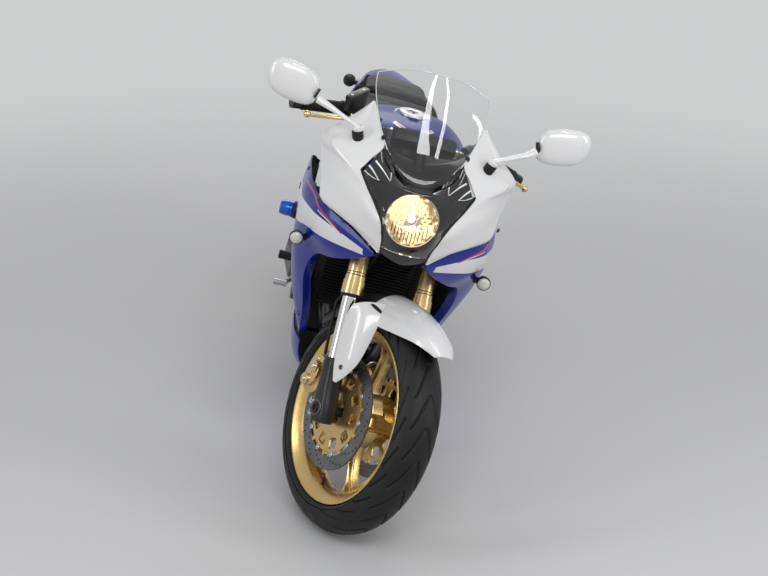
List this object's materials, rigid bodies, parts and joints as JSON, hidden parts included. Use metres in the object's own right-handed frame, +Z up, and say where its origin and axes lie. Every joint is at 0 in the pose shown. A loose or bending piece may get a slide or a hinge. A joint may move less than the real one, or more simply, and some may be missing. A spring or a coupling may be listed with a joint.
{
  "type": "sport motorcycle",
  "caption": "Fully faired sport motorcycle leaning on its side stand, with turning wheels, steering, stand and fuel cap.",
  "frame": {"origin": "on the ground under the middle of the bounding box, machine parked on its side stand", "axes": "-Y forward, +Z up, +X to the rider's left; the machine leans towards +X by 13 degrees and its steering is on the left stop"},
  "size_m": [0.8052, 2.098, 1.1689],
  "materials": {
    "tyre": "matt",
    "gold_rim": "satin metallic",
    "disc_steel": "ground",
    "dark_steel": "oiled",
    "black_metal": "satin",
    "chrome": "polished",
    "gold_anodised": "anodised",
    "alloy": "satin",
    "white_gloss": "gloss",
    "blue_gloss": "gloss metallic",
    "tank_blue": "gloss metallic",
    "black_rubber": "matt",
    "black_plastic": "satin",
    "grey_plastic": "grained",
    "engine_paint": "satin",
    "seat_cover": "matt grained",
    "clear_screen": "clear",
    "lamp_red": "gloss",
    "lamp_clear": "gloss",
    "reflector": "polished",
    "plate_white": "gloss",
    "mirror_glass": "polished",
    "blue_anodised": "anodised"
  },
  "bodies": {
    "chassis": {"frame": "black_metal", "subframe": "black_metal", "engine": "engine_paint", "radiator": "black_metal", "exhaust_headers": "disc_steel", "silencer": "dark_steel", "swingarm": "alloy", "swingarm_brace": "black_metal", "rear_axle": "dark_steel", "rear_shock": "black_metal", "drive_chain": "dark_steel", "chain_guard": "black_plastic", "rear_caliper": "black_metal", "fuel_tank": "tank_blue", "rider_seat": "seat_cover", "pillion_seat": "seat_cover", "tail_cowl": "blue_gloss", "tail_lamp": "lamp_red", "rear_mudguard": "black_plastic", "number_plate": "plate_white", "upper_cowls": "white_gloss", "headlight_lens": "clear_screen", "headlight_housing": "grey_plastic", "headlight_reflector": "reflector", "windscreen": "clear_screen", "instrument": "black_plastic", "side_cowls": "blue_gloss", "belly_cowl": "blue_gloss", "mirrors": "white_gloss", "mirror_boots": "black_rubber", "mirror_glasses": "mirror_glass", "indicators": "lamp_clear", "crash_bobbins": "blue_anodised", "footrest_hangers": "alloy", "footrests": "black_rubber", "pedals": "alloy"},
    "steering": {"fork_feet": "black_metal", "fork_sliders": "chrome", "fork_tubes": "gold_anodised", "yokes": "black_metal", "front_axle": "dark_steel", "front_mudguard": "white_gloss", "front_calipers": "gold_anodised", "handlebars": "black_metal", "grips": "black_rubber", "levers": "gold_anodised", "bar_controls": "black_metal", "brake_hoses": "black_rubber"},
    "front_wheel": {"front_tyre": "tyre", "front_rim": "gold_rim", "front_discs": "disc_steel", "front_disc_carriers": "gold_rim"},
    "rear_wheel": {"rear_tyre": "tyre", "rear_rim": "gold_rim", "rear_disc": "disc_steel", "rear_sprocket": "dark_steel"},
    "side_stand": {"side_stand": "black_metal"},
    "fuel_cap": {"fuel_cap": "alloy"}
  },
  "joints": [
    {"name": "steering", "type": "hinge", "parent": "chassis", "child": "steering", "pos_m": [-0.05161, -0.49641, 0.7908], "axis": [-0.2044, -0.4176, -0.8854], "range_deg": [0, 54.9]},
    {"name": "front_wheel_spin", "type": "hinge", "parent": "steering", "child": "front_wheel", "pos_m": [-0.15171, -0.77109, 0.28128], "axis": [0.8213, 0.419, -0.3872], "continuous": true},
    {"name": "rear_wheel_spin", "type": "hinge", "parent": "chassis", "child": "rear_wheel", "pos_m": [-0.16279, 0.66201, 0.30923], "axis": [0.9744, 0, -0.225], "continuous": true},
    {"name": "side_stand", "type": "hinge", "parent": "chassis", "child": "side_stand", "pos_m": [-0.04903, -0.00288, 0.25967], "axis": [0.9388, 0.0008, 0.3446], "range_deg": [0, 93.4]},
    {"name": "fuel_cap_hinge", "type": "hinge", "parent": "chassis", "child": "fuel_cap", "pos_m": [-0.0222, -0.24249, 0.91819], "axis": [0.9744, 0, -0.225], "range_deg": [0, 100]}
  ]
}
